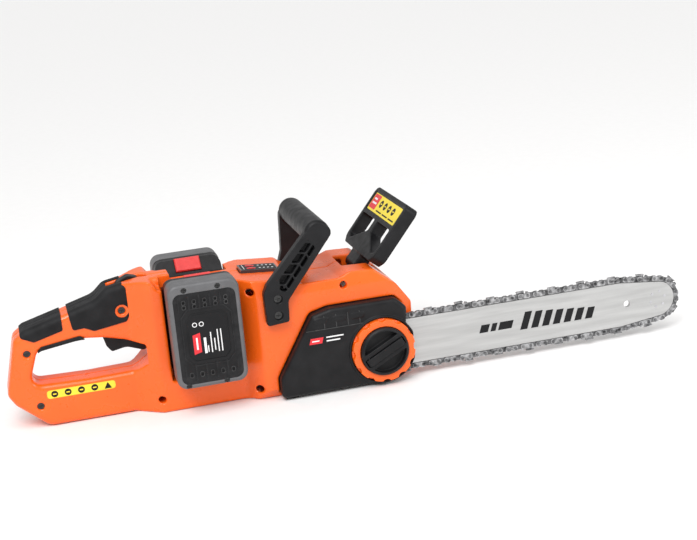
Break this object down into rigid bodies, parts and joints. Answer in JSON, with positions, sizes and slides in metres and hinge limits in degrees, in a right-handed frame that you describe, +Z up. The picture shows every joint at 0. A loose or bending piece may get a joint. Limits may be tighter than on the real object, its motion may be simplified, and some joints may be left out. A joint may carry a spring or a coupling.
{
  "type": "cordless chainsaw",
  "caption": "Cordless chainsaw with rear and front handles, paired side battery packs, guide bar and chain, sprocket cover with clamp knob, and a hinged hand guard.",
  "frame": {"origin": "middle of the bounding box at the height of the flat underside the saw stands on", "axes": "+X forward to the bar tip, +Y to the saw's left, +Z up"},
  "size_m": [0.7518, 0.156, 0.191],
  "materials": {
    "orange_plastic": "satin gloss moulding",
    "grip_rubber": "matte",
    "black_plastic": "fine texture",
    "red_plastic": "satin",
    "grey_plastic": "fine texture",
    "bar_steel": "satin",
    "chain_steel": "oiled",
    "steel": "plain",
    "aluminium": "cast",
    "copper": "enamelled wire",
    "tank_plastic": "natural",
    "circuit_board": "coated",
    "cell_sleeve": "shrink sleeve"
  },
  "bodies": {
    "saw": {"right_housing": "orange_plastic", "left_housing": "orange_plastic", "right_grip_pads": "grip_rubber", "left_grip_pads": "grip_rubber", "front_handle": "black_plastic", "front_handle_screws": "steel", "housing_screws": "steel", "guard_pin": "steel", "sprocket_cover": "black_plastic", "brake_band": "steel", "motor_stator": "steel", "motor_windings": "copper", "shaft_bearings": "steel", "motor_frame": "aluminium", "bar_stud": "steel", "bar_plate": "steel", "oil_tank": "tank_plastic", "oil_pump": "aluminium", "trigger_pin": "steel", "trigger_spring": "steel", "main_switch": "black_plastic", "lockoff_spring": "steel", "gauge_panel": "black_plastic", "gauge_lenses": "red_plastic", "controller_board": "circuit_board", "terminal_blocks": "black_plastic", "drive_links": "chain_steel", "tie_straps": "chain_steel", "cutters_left": "chain_steel", "cutters_right": "chain_steel", "chain_rivets": "chain_steel"},
    "guide_bar": {"guide_bar": "bar_steel", "tensioner_pin": "steel"},
    "nose_sprocket": {"nose_sprocket": "steel"},
    "drive": {"drive_sprocket": "steel", "drive_shaft": "steel", "brake_drum": "steel", "motor_rotor": "steel", "cooling_fan": "black_plastic"},
    "hand_guard": {"hand_guard": "black_plastic"},
    "brake_lever": {"brake_lever": "steel"},
    "tension_ring": {"tension_ring": "orange_plastic"},
    "clamp_knob": {"clamp_knob": "black_plastic", "knob_pin": "steel"},
    "knob_lever": {"knob_lever": "black_plastic"},
    "oil_cap": {"oil_cap": "black_plastic"},
    "trigger": {"trigger": "black_plastic"},
    "lockoff_button": {"lockoff_button": "black_plastic"},
    "left_pack": {"left_pack_shell": "grey_plastic", "left_pack_panel": "black_plastic", "left_pack_core": "black_plastic", "left_pack_cells": "cell_sleeve", "left_pack_screws": "steel"},
    "right_pack": {"right_pack_shell": "grey_plastic", "right_pack_panel": "black_plastic", "right_pack_core": "black_plastic", "right_pack_cells": "cell_sleeve", "right_pack_screws": "steel"},
    "left_pack_button": {"left_pack_button": "red_plastic"},
    "right_pack_button": {"right_pack_button": "red_plastic"}
  },
  "joints": [
    {"name": "trigger_pull", "type": "hinge", "parent": "saw", "child": "trigger", "pos_m": [-0.2244, 0.004, 0.084], "axis": [0, 1, 0], "range_deg": [0, 7], "stiffness_Nm_per_rad": 0.6, "springref_deg": -6.88, "deforming": ["trigger_spring"]},
    {"name": "lockoff_press", "type": "slide", "parent": "saw", "child": "lockoff_button", "axis": [0, 0, -1], "range_m": [0, 0.003], "stiffness_N_per_m": 400, "springref_m": -0.002, "deforming": ["lockoff_spring"]},
    {"name": "guard_tilt", "type": "hinge", "parent": "saw", "child": "hand_guard", "pos_m": [0.0156, 0.004, 0.12], "axis": [0, 1, 0], "range_deg": [0, 15]},
    {"name": "brake_lever_turn", "type": "hinge", "parent": "saw", "child": "brake_lever", "pos_m": [-0.0144, -0.027, 0.076], "axis": [0, 1, 0], "range_deg": [-6, 0]},
    {"name": "tension_ring_turn", "type": "hinge", "parent": "saw", "child": "tension_ring", "pos_m": [0.0196, -0.066, 0.04], "axis": [0, -1, 0], "range_deg": [0, 120]},
    {"name": "bar_slide", "type": "slide", "parent": "saw", "child": "guide_bar", "axis": [1, 0, 0], "range_m": [-0.003, 0]},
    {"name": "nose_sprocket_spin", "type": "hinge", "parent": "guide_bar", "child": "nose_sprocket", "pos_m": [0.3496, -0.051, 0.04], "axis": [0, 1, 0], "continuous": true},
    {"name": "clamp_knob_turn", "type": "hinge", "parent": "saw", "child": "clamp_knob", "pos_m": [0.0196, -0.066, 0.04], "axis": [0, -1, 0], "range_deg": [0, 720]},
    {"name": "knob_lever_flip", "type": "hinge", "parent": "clamp_knob", "child": "knob_lever", "pos_m": [0.00267, -0.0737, 0.03137], "axis": [0.454, 0, -0.891], "range_deg": [0, 90]},
    {"name": "drive_spin", "type": "hinge", "parent": "saw", "child": "drive", "pos_m": [-0.0444, 0.004, 0.04], "axis": [0, 1, 0], "continuous": true},
    {"name": "oil_cap_turn", "type": "hinge", "parent": "saw", "child": "oil_cap", "pos_m": [0.0176, 0.062, 0.076], "axis": [0, 1, 0], "range_deg": [0, 360]},
    {"name": "left_pack_slide", "type": "slide", "parent": "saw", "child": "left_pack", "axis": [0, 0, 1], "range_m": [0, 0.12]},
    {"name": "right_pack_slide", "type": "slide", "parent": "saw", "child": "right_pack", "axis": [0, 0, 1], "range_m": [0, 0.12]},
    {"name": "left_pack_button_press", "type": "slide", "parent": "left_pack", "child": "left_pack_button", "axis": [0, 0.7071, -0.7071], "range_m": [0, 0.002], "stiffness_N_per_m": 500, "springref_m": -0.001},
    {"name": "right_pack_button_press", "type": "slide", "parent": "right_pack", "child": "right_pack_button", "axis": [0, -0.7071, -0.7071], "range_m": [0, 0.002], "stiffness_N_per_m": 500, "springref_m": -0.001}
  ],
  "couplings": [
    {"joint": "tension_ring_turn", "follows": "bar_slide", "rad_per_m": -698.13},
    {"joint": "brake_lever_turn", "follows": "guard_tilt", "ratio": -0.4}
  ]
}
